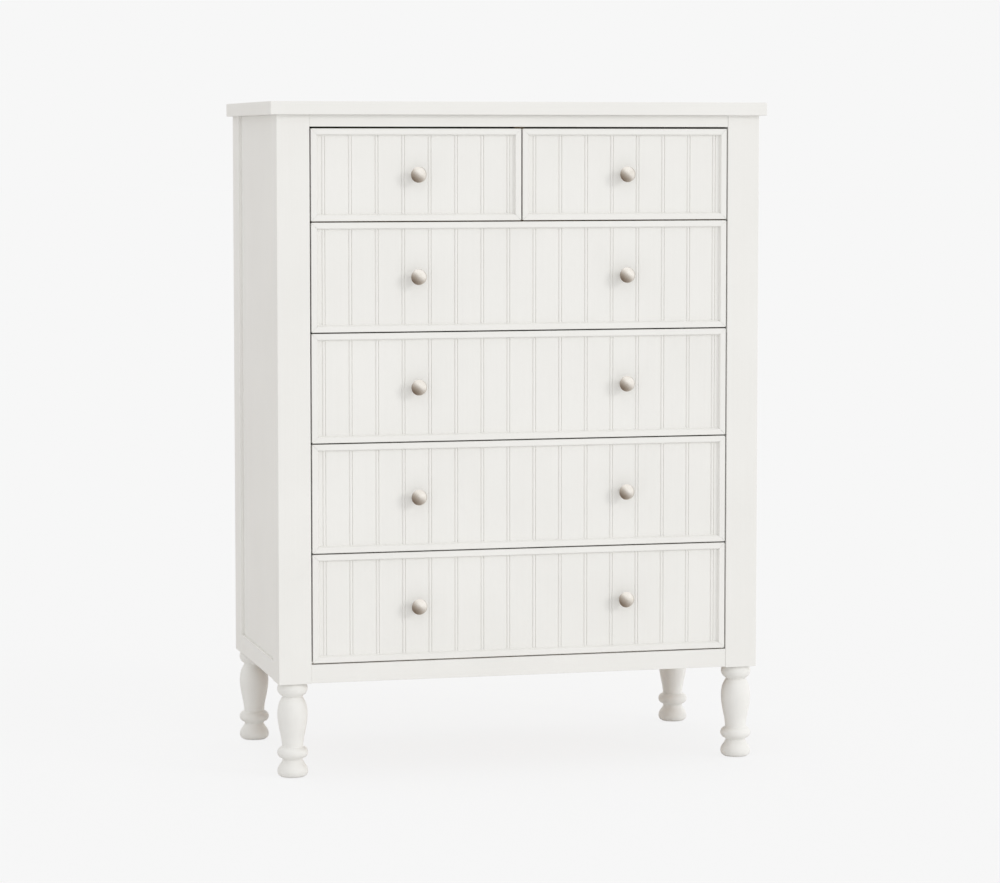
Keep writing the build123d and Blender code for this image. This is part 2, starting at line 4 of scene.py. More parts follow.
import bpy
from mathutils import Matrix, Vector


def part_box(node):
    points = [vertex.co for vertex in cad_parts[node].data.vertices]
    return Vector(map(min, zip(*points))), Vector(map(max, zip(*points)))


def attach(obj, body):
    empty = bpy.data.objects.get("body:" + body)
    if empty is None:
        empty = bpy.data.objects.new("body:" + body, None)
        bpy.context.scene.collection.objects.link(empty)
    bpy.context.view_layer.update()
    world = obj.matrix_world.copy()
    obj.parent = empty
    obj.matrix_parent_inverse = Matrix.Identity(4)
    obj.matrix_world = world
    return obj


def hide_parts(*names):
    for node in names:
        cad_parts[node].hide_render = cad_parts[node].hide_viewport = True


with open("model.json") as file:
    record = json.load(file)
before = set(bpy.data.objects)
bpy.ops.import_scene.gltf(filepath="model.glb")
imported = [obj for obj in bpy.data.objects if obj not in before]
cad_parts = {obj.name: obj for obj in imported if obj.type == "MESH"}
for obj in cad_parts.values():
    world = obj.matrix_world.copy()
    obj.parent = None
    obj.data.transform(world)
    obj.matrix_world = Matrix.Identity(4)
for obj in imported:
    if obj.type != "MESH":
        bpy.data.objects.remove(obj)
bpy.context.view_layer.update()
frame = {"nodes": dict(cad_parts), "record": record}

nodes = frame["nodes"]
record = frame["record"]
bodyOf = {node: body for body, members in record["behaviour"]["bodies"].items() for node in members}
slotOf = {part["node"]: part["material_slot"] for part in record["subparts"]}
drawers = [body for body in record["behaviour"]["bodies"] if body.endswith("_drawer")]
wideDrawers = [drawer for drawer in drawers if not drawer.startswith("top_")]
topDrawers = [drawer for drawer in drawers if drawer.startswith("top_")]
mm = 0.001


# Camera, at the height of a standing eye and a little to the left

cameraValues = {
    "place": (-1.5937, -6.3247, 1.1899),
    "turn": 0.24902,  # to the right of +Y
    "dip": 0.07692,
    "lens": 120.07,
    "shift": -0.04,
}


def makeCamera(values):
    data = bpy.data.cameras.new("camera")
    data.lens = values["lens"]
    data.shift_y = values["shift"]
    data.clip_end = 100
    camera = bpy.data.objects.new("camera", data)
    camera.location = values["place"]
    camera.rotation_euler = (math.pi / 2 - values["dip"], 0, -values["turn"])
    bpy.context.scene.collection.objects.link(camera)
    bpy.context.scene.camera = camera


makeCamera(cameraValues)
print("camera placed")


# Materials

class Value:
    # one socket of a finish, which goes into sums like a number
    def __init__(self, finish, socket):
        self.finish = finish
        self.socket = socket

    def sums(self, operation, first, second):
        return self.finish.add("ShaderNodeMath", {"operation": operation}, {0: first, 1: second})

    def __add__(self, other):
        return self.sums("ADD", self, other)

    def __sub__(self, other):
        return self.sums("SUBTRACT", self, other)

    def __rsub__(self, other):
        return self.sums("SUBTRACT", other, self)

    def __mul__(self, other):
        return self.sums("MULTIPLY", self, other)

    def fraction(self):
        return self.finish.add("ShaderNodeMath", {"operation": "FRACT"}, {0: self})

    __radd__ = __add__
    __rmul__ = __mul__


def setStops(ramp, stops):
    while len(ramp.elements) < len(stops):
        ramp.elements.new(1)
    for element, (position, colour) in zip(ramp.elements, stops):
        element.position = position
        element.color = (*colour, 1)


class Finish:
    # a material under way: add() brings in any node, wear() plugs the principled shader
    def __init__(self, name, constants):
        self.material = bpy.data.materials.new(name)
        self.material.use_nodes = True
        self.tree = self.material.node_tree
        self.shader = self.tree.nodes["Principled BSDF"]
        self.plug(self.shader, constants)
        self.place = self.add("ShaderNodeTexCoord", output="Object")

    def plug(self, node, sockets):
        for key, value in sockets.items():
            if isinstance(value, Value):
                self.tree.links.new(value.socket, node.inputs[key])
            else:
                node.inputs[key].default_value = value

    def add(self, kind, settings={}, sockets={}, output=0):
        node = self.tree.nodes.new(kind)
        for key, value in settings.items():
            if key == "stops":
                setStops(node.color_ramp, value)
            else:
                setattr(node, key, value)
        self.plug(node, sockets)
        return Value(self, node.outputs[output])

    def stretched(self, scale, turn=(0, 0, 0)):
        sockets = {"Vector": self.place, "Scale": scale, "Rotation": turn}
        return self.add("ShaderNodeMapping", sockets=sockets)

    def noise(self, vector, scale, detail, roughness, distortion=0.0):
        sockets = {"Vector": vector, "Scale": scale, "Detail": detail, "Roughness": roughness}
        return self.add("ShaderNodeTexNoise", sockets={**sockets, "Distortion": distortion})

    def ramp(self, value, stops):
        return self.add("ShaderNodeValToRGB", {"stops": stops}, {"Fac": value})

    def mixed(self, mask, first, second):
        # the colour sockets of a Mix node are its inputs 6 and 7 and its output 2
        sockets = {0: mask, 6: first, 7: second}
        return self.add("ShaderNodeMix", {"data_type": "RGBA"}, sockets, output=2)

    def bump(self, height, strength, distance, under=None):
        sockets = {"Height": height, "Strength": strength, "Distance": distance}
        if under:
            sockets["Normal"] = under
        return self.add("ShaderNodeBump", sockets=sockets)

    def wear(self, colour, roughness, normal):
        self.plug(self.shader, {"Base Color": colour, "Roughness": roughness, "Normal": normal})
        return self.material


axisNames = "XYZ"


def alongAxis(axis, along, across):
    # a scale that is small along an axis and large across it, which draws a pattern out along it
    scale = [across] * 3
    scale[axis] = along
    return tuple(scale)


# In all finishes a pattern is given in waves to a metre, or in waves along and across the board.
# A noise is its detail, its roughness and sometimes its distortion, and a bump is its strength and
# its depth in metres.

paintValues = {
    "shader": {"IOR": 1.46, "Coat Weight": 0.05, "Coat Roughness": 0.3},
    "light": (0.854, 0.845, 0.815),
    "deep": (0.830, 0.820, 0.789),
    "toneReach": (0.36, 0.6),  # the shade at which the paint is deep, and at which it is light
    "strokes": (3.0, 260.0),  # brush strokes
    "strokeNoise": (4, 0.6),
    "grain": (8.0, 420.0),  # wood grain that shows through
    "grainNoise": (2, 0.7),
    "cloud": 5,
    "cloudNoise": (3, 0.55),
    "peel": 900,  # the fine skin of the last coat
    "peelNoise": (2, 0.5),
    "shadeShares": (0.6, 0.25, 0.15),  # cloud, strokes and grain
    "bumpShares": (0.7, 0.3),  # strokes and grain
    "peelBump": (0.08, 0.0001),
    "strokeBump": (0.12, 0.0002),
    "roughness": 0.44,
    "spread": 0.14,
}


def paintFinish(axis, values=paintValues):
    finish = Finish("paintAlong" + axisNames[axis], values["shader"])
    strokePlace = finish.stretched(alongAxis(axis, *values["strokes"]))
    strokes = finish.noise(strokePlace, 1, *values["strokeNoise"])
    grainPlace = finish.stretched(alongAxis(axis, *values["grain"]))
    grain = finish.noise(grainPlace, 1, *values["grainNoise"])
    cloud = finish.noise(finish.place, values["cloud"], *values["cloudNoise"])
    peel = finish.noise(finish.place, values["peel"], *values["peelNoise"])
    cloudShare, strokeShare, grainShare = values["shadeShares"]
    shade = cloud * cloudShare + strokes * strokeShare + grain * grainShare
    colour = finish.ramp(shade, list(zip(values["toneReach"], (values["deep"], values["light"]))))
    roughness = values["roughness"] - values["spread"] / 2 + shade * values["spread"]
    skin = finish.bump(peel, *values["peelBump"])
    strokeShare, grainShare = values["bumpShares"]
    height = strokes * strokeShare + grain * grainShare
    return finish.wear(colour, roughness, finish.bump(height, *values["strokeBump"], skin))


woodValues = {
    "drawer_wood": {
        "light": (0.66, 0.47, 0.27),
        "middle": (0.58, 0.39, 0.21),
        "dark": (0.44, 0.27, 0.13),
        "lacquer": 0.25,
    },
    "plain_wood": {
        "light": (0.60, 0.45, 0.28),
        "middle": (0.53, 0.38, 0.22),
        "dark": (0.41, 0.27, 0.14),
        "lacquer": 0.0,
    },
    "thin_board": {
        "light": (0.55, 0.41, 0.26),
        "middle": (0.50, 0.36, 0.22),
        "dark": (0.40, 0.27, 0.15),
        "lacquer": 0.0,
    },
    "shader": {"IOR": 1.5, "Coat Roughness": 0.22},
    "figure": (1.3, 12.0),
    "figureNoise": (3, 0.5, 0.4),
    "figureTurn": (0.03, 0.05, 0.04),  # boards are never sawn quite along the grain
    "rings": 9.0,  # growth rings to one swing of the figure
    "ringStops": [
        (0.0, (0, 0, 0)),
        (0.55, (0.35, 0.35, 0.35)),
        (0.9, (1, 1, 1)),
        (1.0, (0.1, 0.1, 0.1)),
    ],
    "ringShare": 0.42,
    "fibre": (14.0, 700.0),
    "fibreNoise": (3, 0.7),
    "pore": (60.0, 1900.0),
    "poreNoise": (1, 0.4),
    "poreStops": [(0.60, (0, 0, 0)), (0.72, (1, 1, 1))],
    "poreShare": 0.35,
    "patches": 3.5,
    "patchNoise": (2, 0.5),
    "baseShares": (0.6, 0.4),  # patches and fibres
    "baseReach": (0.35, 0.65),
    "roughness": 0.40,
    "roughShares": (0.14, 0.12),  # what fibres and pores add
    "poreDepth": 0.5,
    "bump": (0.25, 0.00015),
}


def woodFinish(slot, axis, values=woodValues):
    tones = values[slot]
    dark = (*tones["dark"], 1)
    shader = {**values["shader"], "Coat Weight": tones["lacquer"]}
    finish = Finish(slot + "Along" + axisNames[axis], shader)
    figurePlace = finish.stretched(alongAxis(axis, *values["figure"]), values["figureTurn"])
    rings = (finish.noise(figurePlace, 1, *values["figureNoise"]) * values["rings"]).fraction()
    growth = finish.ramp(rings, values["ringStops"])
    fibrePlace = finish.stretched(alongAxis(axis, *values["fibre"]))
    fibres = finish.noise(fibrePlace, 1, *values["fibreNoise"])
    porePlace = finish.stretched(alongAxis(axis, *values["pore"]))
    pores = finish.ramp(finish.noise(porePlace, 1, *values["poreNoise"]), values["poreStops"])
    patches = finish.noise(finish.place, values["patches"], *values["patchNoise"])
    patchShare, fibreShare = values["baseShares"]
    baseStops = list(zip(values["baseReach"], (tones["middle"], tones["light"])))
    base = finish.ramp(patches * patchShare + fibres * fibreShare, baseStops)
    colour = finish.mixed(growth * values["ringShare"], base, dark)
    colour = finish.mixed(pores * values["poreShare"], colour, dark)
    fibreRough, poreRough = values["roughShares"]
    roughness = values["roughness"] + fibres * fibreRough + pores * poreRough
    height = fibres - pores * values["poreDepth"]
    return finish.wear(colour, roughness, finish.bump(height, *values["bump"]))


nickelValues = {
    "shader": {"Metallic": 1.0},
    "light": (0.75, 0.72, 0.675),
    "deep": (0.67, 0.635, 0.58),
    "toneReach": (0.35, 0.65),
    "cloud": 60,
    "cloudNoise": (3, 0.6),
    "satin": 2600,
    "satinNoise": (2, 0.6),
    "roughness": 0.13,
    "roughShares": (0.07, 0.04),  # what cloud and satin add
    "bump": (0.08, 0.00004),
}


def nickelFinish(values=nickelValues):
    finish = Finish("satinNickel", values["shader"])
    cloud = finish.noise(finish.place, values["cloud"], *values["cloudNoise"])
    satin = finish.noise(finish.place, values["satin"], *values["satinNoise"])
    colour = finish.ramp(cloud, list(zip(values["toneReach"], (values["deep"], values["light"]))))
    cloudRough, satinRough = values["roughShares"]
    roughness = values["roughness"] + cloud * cloudRough + satin * satinRough
    return finish.wear(colour, roughness, finish.bump(satin, *values["bump"]))


zincValues = {
    "shader": {"Metallic": 1.0},
    "tones": [(0.25, (0.42, 0.43, 0.44)), (0.55, (0.60, 0.61, 0.61)), (0.8, (0.66, 0.66, 0.62))],
    "toneShares": (0.6, 0.4),  # cloud and crystals
    "crystals": 260,
    "cloud": 18,
    "cloudNoise": (4, 0.6),
    "drawn": (20, 1500),  # the marks of drawing the sheet through its rolls
    "drawnNoise": (2, 0.6),
    "roughness": 0.26,
    "roughShares": (0.18, 0.08),  # what cloud and drawing marks add
    "bump": (0.12, 0.00005),
}


def zincFinish(values=zincValues):
    finish = Finish("zincPlate", values["shader"])
    sockets = {"Vector": finish.place, "Scale": values["crystals"]}
    crystals = finish.add("ShaderNodeTexVoronoi", sockets=sockets)
    cloud = finish.noise(finish.place, values["cloud"], *values["cloudNoise"])
    drawnPlace = finish.stretched(alongAxis(1, *values["drawn"]))
    drawn = finish.noise(drawnPlace, 1, *values["drawnNoise"])
    cloudShare, crystalShare = values["toneShares"]
    colour = finish.ramp(cloud * cloudShare + crystals * crystalShare, values["tones"])
    cloudRough, drawnRough = values["roughShares"]
    roughness = values["roughness"] + cloud * cloudRough + drawn * drawnRough
    return finish.wear(colour, roughness, finish.bump(drawn, *values["bump"]))


nylonValues = {
    "shader": {"IOR": 1.53},
    "tones": [(0.3, (0.62, 0.60, 0.55)), (0.7, (0.74, 0.72, 0.67))],
    "toneShares": (0.7, 0.3),  # cloud and scuffs
    "cloud": 40,
    "cloudNoise": (3, 0.6),
    "scuffs": (40, 600, 40),
    "scuffNoise": (3, 0.7),
    "roughness": 0.42,
    "scuffRough": 0.25,
    "bump": (0.2, 0.0001),
}


def nylonFinish(values=nylonValues):
    finish = Finish("nylon", values["shader"])
    cloud = finish.noise(finish.place, values["cloud"], *values["cloudNoise"])
    scuffs = finish.noise(finish.stretched(values["scuffs"]), 1, *values["scuffNoise"])
    cloudShare, scuffShare = values["toneShares"]
    colour = finish.ramp(cloud * cloudShare + scuffs * scuffShare, values["tones"])
    roughness = values["roughness"] + scuffs * values["scuffRough"]
    return finish.wear(colour, roughness, finish.bump(scuffs, *values["bump"]))


# one finish for each axis that the strokes or the grain may run along
finishes = {
    "white_paint": [paintFinish(axis) for axis in range(3)],
    "nickel": [nickelFinish()] * 3,
    "zinc_steel": [zincFinish()] * 3,
    "nylon": [nylonFinish()] * 3,
}
for woodSlot in ("drawer_wood", "plain_wood", "thin_board"):
    finishes[woodSlot] = [woodFinish(woodSlot, axis) for axis in range(3)]
print("materials made")


# Ways of working that all pieces share

workValues = {
    "doubles": 0.005,  # millimetres between points that are merged
    "cadDoubles": 0.002,
    "flatDegrees": 0.6,  # CAD facets that are this nearly flat become one face
    "easeDegrees": 34,  # edges sharper than this are eased
    "softDegrees": 38,  # edges softer than this are shaded smooth
}


def pickOnly(piece):
    bpy.ops.object.select_all(action="DESELECT")
    piece.select_set(True)
    bpy.context.view_layer.objects.active = piece


def startEdit(piece, kind="FACE", test=None):
    # opens a piece with everything selected, or only the faces or points that pass the test
    pickOnly(piece)
    bpy.ops.object.mode_set(mode="EDIT")
    bpy.ops.mesh.select_mode(type=kind)
    bpy.ops.mesh.select_all(action="SELECT" if test is None else "DESELECT")
    if test is None:
        return
    bpy.ops.object.mode_set(mode="OBJECT")
    if kind == "FACE":
        for face in piece.data.polygons:
            face.select = test(face.center, face.normal)
    else:
        for point in piece.data.vertices:
            point.select = test(point.co)
    bpy.ops.object.mode_set(mode="EDIT")


def stopEdit():
    bpy.ops.object.mode_set(mode="OBJECT")


def modify(piece, kind, **settings):
    pickOnly(piece)
    modifier = piece.modifiers.new(kind, kind)
    for key, value in settings.items():
        setattr(modifier, key, value)
    bpy.ops.object.modifier_apply(modifier=modifier.name)


def smooth(piece, degrees=workValues["softDegrees"]):
    pickOnly(piece)
    bpy.ops.object.shade_smooth_by_angle(angle=math.radians(degrees))
    modify(piece, "WEIGHTED_NORMAL", keep_sharp=True)


def extent(piece):
    corners = [point.co for point in piece.data.vertices]
    low = Vector([min(corner[axis] for corner in corners) for axis in range(3)])
    high = Vector([max(corner[axis] for corner in corners) for axis in range(3)])
    return low, high


def longestAxis(piece):
    low, high = extent(piece)
    size = high - low
    return max(range(3), key=lambda axis: size[axis])


def settle(piece, node, axis=None):
    # gives a finished piece its finish and its body, and hides the node that it stands for
    slot = slotOf[node]
    piece.data.materials.clear()
    piece.data.materials.append(finishes[slot][longestAxis(piece) if axis is None else axis])
    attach(piece, bodyOf[node])
    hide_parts(node)


def copyOf(piece, name, shift):
    pickOnly(piece)
    bpy.ops.object.duplicate()
    other = bpy.context.object
    other.name = name
    other.location = shift
    bpy.ops.object.transform_apply(location=True, rotation=False, scale=False)
    return other


def benchCopy(node, name):
    # a merged copy of a CAD node, ready to be worked on
    pickOnly(nodes[node])
    bpy.ops.object.duplicate()
    piece = bpy.context.object
    piece.name = name
    piece.parent = None
    for key in list(piece.keys()):
        del piece[key]  # the marks of the node, which aren't the piece's own
    startEdit(piece)
    bpy.ops.mesh.remove_doubles(threshold=workValues["cadDoubles"] * mm)
    bpy.ops.mesh.dissolve_limited(angle_limit=math.radians(workValues["flatDegrees"]))
    stopEdit()
    return piece


def easeEdges(piece, width, segments=2):
    # rounds off all sharp edges of a piece, by a width in millimetres
    modify(
        piece,
        "BEVEL",
        width=width * mm,
        segments=segments,
        limit_method="ANGLE",
        angle_limit=math.radians(workValues["easeDegrees"]),
        use_clamp_overlap=True,
    )


def looseParts(piece):
    # separates a piece into the solids that it is made of
    startEdit(piece)
    bpy.ops.mesh.separate(type="LOOSE")
    stopEdit()
    return list(bpy.context.selected_objects)


def namedBoards(piece):
    # separates a piece into its boards and names each one by where it stands in the whole
    low, high = extent(piece)
    name = piece.name
    words = (("left", "right"), ("front", "back"), ("lower", "upper"))
    boards = looseParts(piece)
    for board in boards:
        boardLow, boardHigh = extent(board)
        lean = boardLow + boardHigh - low - high
        offset = [lean[axis] / (high[axis] - low[axis]) for axis in range(3)]
        axis = max(range(3), key=lambda axis: abs(offset[axis]))
        board.name = name + "_" + words[axis][offset[axis] > 0]
    return sorted(boards, key=lambda board: board.name)


def emptyOutline(name):
    # a primitive shrunk to one point, from which an outline is drawn out
    bpy.ops.object.select_all(action="DESELECT")
    bpy.ops.mesh.primitive_plane_add(size=mm)
    piece = bpy.context.object
    piece.name = name
    startEdit(piece, "VERT")
    bpy.ops.mesh.merge(type="CENTER")
    return piece


def closeUp():
    # merges the doubles of what is selected and turns its faces outwards
    bpy.ops.mesh.remove_doubles(threshold=workValues["doubles"] * mm)
    bpy.ops.mesh.normals_make_consistent(inside=False)


def spun(name, outline, axis, steps):
    # spins an outline into a closed solid; its points are (radius, distance along the axis)
    piece = emptyOutline(name)
    points = [Vector((radius, 0, 0)) * mm + axis * along * mm for radius, along in outline]
    bpy.ops.transform.translate(value=points[0])
    for before, after in zip(points, points[1:]):
        bpy.ops.mesh.extrude_region_move(TRANSFORM_OT_translate={"value": after - before})
    bpy.ops.mesh.select_all(action="SELECT")
    bpy.ops.mesh.spin(steps=steps, angle=2 * math.pi, center=(0, 0, 0), axis=axis)
    bpy.ops.mesh.select_all(action="SELECT")
    closeUp()
    stopEdit()
    return piece


def arcThrough(start, middle, end, steps):
    # points on the circle through three points, without the first one
    (ax, ay), (bx, by), (cx, cy) = start, middle, end
    d = 2 * (ax * (by - cy) + bx * (cy - ay) + cx * (ay - by))
    a2, b2, c2 = ax * ax + ay * ay, bx * bx + by * by, cx * cx + cy * cy
    centreX = (a2 * (by - cy) + b2 * (cy - ay) + c2 * (ay - by)) / d
    centreY = (a2 * (cx - bx) + b2 * (ax - cx) + c2 * (bx - ax)) / d
    radius = math.hypot(ax - centreX, ay - centreY)
    angles = [math.atan2(y - centreY, x - centreX) for x, y in (start, middle, end)]
    turn = (angles[2] - angles[0]) % (2 * math.pi)
    if (angles[1] - angles[0]) % (2 * math.pi) > turn:
        turn -= 2 * math.pi
    bend = [angles[0] + turn * i / steps for i in range(1, steps + 1)]
    return [(centreX + radius * math.cos(a), centreY + radius * math.sin(a)) for a in bend]


def between(a, b, c, d, t):
    # where a smooth curve is on its way from b to c, with a before them and d after them
    second = 2 * a - 5 * b + 4 * c - d
    third = 3 * b - a - 3 * c + d
    return 0.5 * (2 * b + (c - a) * t + second * t * t + third * t**3)


def curveThrough(points, steps):
    # a smooth curve through points, without the first one
    padded = [points[0], *points, points[-1]]
    found = []
    for four in zip(padded, padded[1:], padded[2:], padded[3:]):
        for i in range(1, steps + 1):
            found.append(tuple(between(*numbers, i / steps) for numbers in zip(*four)))
    return found


# Carcass: boards with eased edges

# how wide the eased edges of each board are, in millimetres
boardValues = {
    "top": 0.5,
    "front_left_post": 0.45,
    "front_right_post": 0.45,
    "rear_left_post": 0.45,
    "rear_right_post": 0.45,
    "front_top_rail": 0.7,
    "front_bottom_rail": 0.7,
    "left_side_rail": 0.7,
    "right_side_rail": 0.7,
    "left_side_panel": 0.6,
    "right_side_panel": 0.6,
    "back_panel": 0.4,
    "rear_rails": 1.0,
    "top_row_shelf": 0.8,
    "top_row_divider": 0.8,
    "cleats": 1.0,
}

# the axis of the grain, where it isn't the longest one of the node
boardGrain = {"cleats": 1, "rear_rails": 0, "back_panel": 2}


def makeBoards(widths, grain):
    for node, width in widths.items():
        piece = benchCopy(node, node + "_board")
        easeEdges(piece, width)
        smooth(piece)
        settle(piece, node, grain.get(node))


makeBoards(boardValues, boardGrain)
print("carcass boards made")


# Legs, turned on a lathe

# places on the outline are (radius, height), in millimetres
legValues = {
    "base": 1.5,  # the foot stands a little over the floor, on its glide
    "glideSeat": (11, 5),
    "footFlat": 21.7,
    "foot": [(22.5, 1.5), (27.2, 5), (29, 12), (26.8, 20), (21.6, 27.6), (18.7, 33.5)],
    "footSteps": 6,
    "ring": [(20.5, 36.5), (29.3, 47), (20.5, 57.5)],
    "ringSteps": 18,
    "vase": [
        (19.8, 59.5), (21.7, 75), (26, 96), (28.6, 118), (26.6, 137), (21.8, 148.4), (18.6, 153.2),
    ],
    "vaseSteps": 7,
    "collar": [(20.6, 155.4), (28.6, 166.8), (25.2, 178.4)],
    "collarSteps": 14,
    "top": (24, 180),
    "boltHole": (4, 140),
    "steps": 72,
    "softDegrees": 30,
}


def legOutline(values):
    seatRadius, seatHeight = values["glideSeat"]
    boltRadius, boltLow = values["boltHole"]
    return [
        (0, seatHeight),
        (seatRadius, seatHeight),
        (seatRadius, values["base"]),
        (values["footFlat"], values["base"]),
        values["foot"][0],
        *curveThrough(values["foot"], values["footSteps"]),
        values["ring"][0],
        *arcThrough(*values["ring"], values["ringSteps"]),
        values["vase"][0],
        *curveThrough(values["vase"], values["vaseSteps"]),
        values["collar"][0],
        *arcThrough(*values["collar"], values["collarSteps"]),
        values["top"],
        (boltRadius, values["top"][1]),
        (boltRadius, boltLow),
        (0, boltLow),
    ]


def makeLegs(values):
    leg = spun("leg", legOutline(values), Vector((0, 0, 1)), values["steps"])
    smooth(leg, values["softDegrees"])
    for row in ("front", "rear"):
        for side in ("left", "right"):
            node = f"{row}_{side}_leg"
            low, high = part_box(node)
            middle = (low + high) / 2
            settle(copyOf(leg, node + "_turning", (middle.x, middle.y, 0)), node, 2)
    bpy.data.objects.remove(leg)


makeLegs(legValues)
print("legs made")


# Drawer fronts: mitred mouldings round a beaded panel

# lengths in millimetres
panelValues = {
    "tongueLength": 4.6,
    "tongueFrom": 4.6,  # behind the panel's face
    "tongueThickness": 5.8,
    "beadPitch": 50.8,
    "beadHalf": 2.6,
    "beadSteps": 5,
    "quirkFlat": 0.35,
    "quirkSlope": 0.55,
    "quirkDepth": 1.6,
    "lipDepth": 0.25,  # the softened corner between a quirk and the face
    "lipWidth": 0.35,
    "nearness": 0.01,  # how near a point lies to a line that it is on
    "stripSlack": 0.001,  # the same for a wall between two strips, in strips
    "softDegrees": 30,
}

mouldingEase = 0.28


def beadOutline(values):
    # how deep the face of the panel lies at each distance from the middle of a bead
    half, depth, steps = values["beadHalf"], values["quirkDepth"], values["beadSteps"]
    turns = [math.pi / 2 * i / steps for i in range(steps + 1)]
    bead = [(half * math.sin(turn), depth * (1 - math.cos(turn))) for turn in turns]
    flat = half + values["quirkFlat"]
    slope = flat + values["quirkSlope"]
    return [*bead, (flat, depth), (slope, values["lipDepth"]), (slope + values["lipWidth"], 0)]


def isSquare(normal, axis):
    # whether a face looks straight along an axis
    return abs(normal[axis]) > 0.999


def cutAcross(place, normal, **settings):
    bpy.ops.mesh.select_all(action="SELECT")
    bpy.ops.mesh.bisect(plane_co=place, plane_no=normal, **settings)


def makeStrip(name, low, high, first, values):
    # one bead and the flat on both sides of it, cut across its face at the bead's outline
    pitch, near = values["beadPitch"] * mm, values["nearness"] * mm
    middle = (low + high) / 2
    outline = beadOutline(values)
    bpy.ops.object.select_all(action="DESELECT")
    bpy.ops.mesh.primitive_cube_add(size=1, location=(first, middle.y, middle.z))
    strip = bpy.context.object
    strip.name = name
    strip.scale = (pitch, high.y - low.y, high.z - low.z)
    bpy.ops.object.transform_apply(location=True, rotation=False, scale=True)
    startEdit(strip)
    for offset in sorted({side * distance for side in (-1, 1) for distance, _ in outline}):
        cutAcross((first + offset * mm, 0, 0), (1, 0, 0))
    stopEdit()
    for distance, depth in outline:
        def onLine(point, distance=distance):
            return abs(abs(point.x - first) - distance * mm) < near and point.y < low.y + near
        startEdit(strip, "VERT", onLine)
        bpy.ops.transform.translate(value=(0, depth * mm, 0))
        stopEdit()
    return strip


def growTongue(panel, front, values):
    # draws a tongue out of all four edges of the panel
    length = values["tongueLength"] * mm
    start = front + values["tongueFrom"] * mm
    end = front + (values["tongueFrom"] + values["tongueThickness"]) * mm
    startEdit(panel)
    for y in (start, end):
        cutAcross((0, y, 0), (0, 1, 0))
    stopEdit()

    def onEdge(centre, normal):
        return start < centre.y < end and not isSquare(normal, 1)

    startEdit(panel, "FACE", onEdge)
    bpy.ops.mesh.extrude_region_shrink_fatten(
        TRANSFORM_OT_shrink_fatten={"value": length, "use_even_offset": True}
    )
    stopEdit()


def makePanel(node, name, values):
    low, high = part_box(node)
    tongue = values["tongueLength"] * mm
    low = low + Vector((tongue, 0, tongue))
    high = high - Vector((tongue, 0, tongue))
    pitch = values["beadPitch"] * mm
    count = 2 * round((high.x - low.x) / pitch / 2)
    first = ((low + high) / 2).x - (count - 1) / 2 * pitch
    panel = makeStrip(name, low, high, first, values)
    modify(
        panel,
        "ARRAY",
        count=count,
        use_relative_offset=False,
        use_constant_offset=True,
        constant_offset_displace=(pitch, 0, 0),
        use_merge_vertices=True,
        merge_threshold=workValues["doubles"] * mm,
    )

    def insideWall(centre, normal):
        # the strips meet inside the board at whole numbers of strips
        strips = (centre.x - first) / pitch + 0.5
        meets = abs(strips - round(strips)) < values["stripSlack"]
        return isSquare(normal, 0) and meets and 0 < round(strips) < count

    startEdit(panel, "FACE", insideWall)
    bpy.ops.mesh.delete(type="FACE")
    stopEdit()
    startEdit(panel)
    for x, outward in ((low.x, -1), (high.x, 1)):
        cutAcross((x, 0, 0), (outward, 0, 0), clear_outer=True, use_fill=True)
    stopEdit()
    growTongue(panel, low.y, values)
    startEdit(panel)
    closeUp()
    stopEdit()
    smooth(panel, values["softDegrees"])
    return panel


def makeFronts():
    for group in (topDrawers, wideDrawers):
        model = group[0] + "_panel"
        panel = makePanel(model, group[0] + "_beaded_panel", panelValues)
        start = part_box(model)[0]
        for drawer in group[1:]:
            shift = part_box(drawer + "_panel")[0] - start
            settle(copyOf(panel, drawer + "_beaded_panel", shift), drawer + "_panel", 2)
        settle(panel, model, 2)
    for drawer in drawers:
        for bar in namedBoards(benchCopy(drawer + "_frame", drawer + "_moulding")):
            easeEdges(bar, mouldingEase)
            smooth(bar)
            settle(bar, drawer + "_frame")


makeFronts()
print("drawer fronts made")


# Drawer boxes: lacquered boards, dovetailed at the corners

boxValues = {
    "ease": 0.35,
    "crosswise": ("front", "back", "lower"),  # boards with their grain from side to side
}


def makeBoxes(values):
    for drawer in drawers:
        for board in namedBoards(benchCopy(drawer + "_box", drawer + "_board")):
            easeEdges(board, values["ease"])
            smooth(board)
            along = 0 if board.name.endswith(values["crosswise"]) else 1
            settle(board, drawer + "_box", along)


makeBoxes(boxValues)
print("drawer boxes made")


# Knobs, spun in one piece, and their screws

# places on the outline are (radius, distance from the drawer's face), in millimetres
knobValues = {
    "radius": 15,
    "length": 28,
    "domeHeight": 6.6,
    "domeSteps": 14,
    "base": [(9, 0), (9, 1.2), (8.6, 1.6)],
    "stem": [(8.6, 1.6), (6.6, 4.4), (5.9, 9), (7.4, 14.5), (12.6, 18.8)],
    "stemSteps": 6,
    "rim": [(12.6, 18.8), (14.3, 19.5)],  # it ends where the dome starts
    "rimSteps": 6,
    "screwHole": (2.1, 9.1),
    "steps": 64,
    "softDegrees": 40,
    "screwEase": 0.15,
}


def knobOutline(values):
    length, radius, height = values["length"], values["radius"], values["domeHeight"]
    domeRadius = (radius**2 + height**2) / (2 * height)
    steps = values["domeSteps"]
    dome = [max(radius * math.cos(math.pi / 2 * i / steps), 0) for i in range(1, steps + 1)]
    holeRadius, holeDepth = values["screwHole"]
    return [
        (0, holeDepth),
        (holeRadius, holeDepth),
        (holeRadius, 0),
        *values["base"],
        *curveThrough(values["stem"], values["stemSteps"]),
        *arcThrough(*values["rim"], (radius, length - height), values["rimSteps"]),
        *((r, length - domeRadius + math.sqrt(domeRadius**2 - r * r)) for r in dome),
    ]


